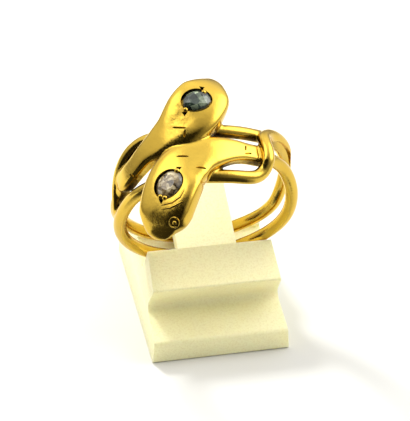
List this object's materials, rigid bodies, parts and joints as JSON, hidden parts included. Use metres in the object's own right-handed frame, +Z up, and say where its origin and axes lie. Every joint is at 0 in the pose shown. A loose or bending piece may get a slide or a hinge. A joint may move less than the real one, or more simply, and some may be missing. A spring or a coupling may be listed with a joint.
{
  "type": "snake wrap ring on display stand",
  "caption": "Gold finger ring of wrapped snakes whose heads hold cut stones, standing in the slot of a moulded display stand with a tongue through the ring.",
  "frame": {"origin": "middle of the stand's underside", "axes": "+Z up, +Y from the stand's front step to its back, +X to the right seen from the front; the finger goes through the ring along +Y, tipped back by the slope of the stand's face"},
  "size_m": [0.0204, 0.0302, 0.0302],
  "materials": {
    "yellow_gold": "polished antique yellow gold, worn, with dark tarnish in the joints and engraved lines",
    "pale_stone": "pale grey cut stone, cloudy",
    "dark_stone": "dark blue-green cut stone, clear",
    "cream_plastic": "cream moulded plastic with a fine grain"
  },
  "bodies": {
    "root": {"snake_ring": "yellow_gold", "front_stone": "pale_stone", "back_stone": "dark_stone", "display_stand": "cream_plastic"}
  },
  "joints": []
}
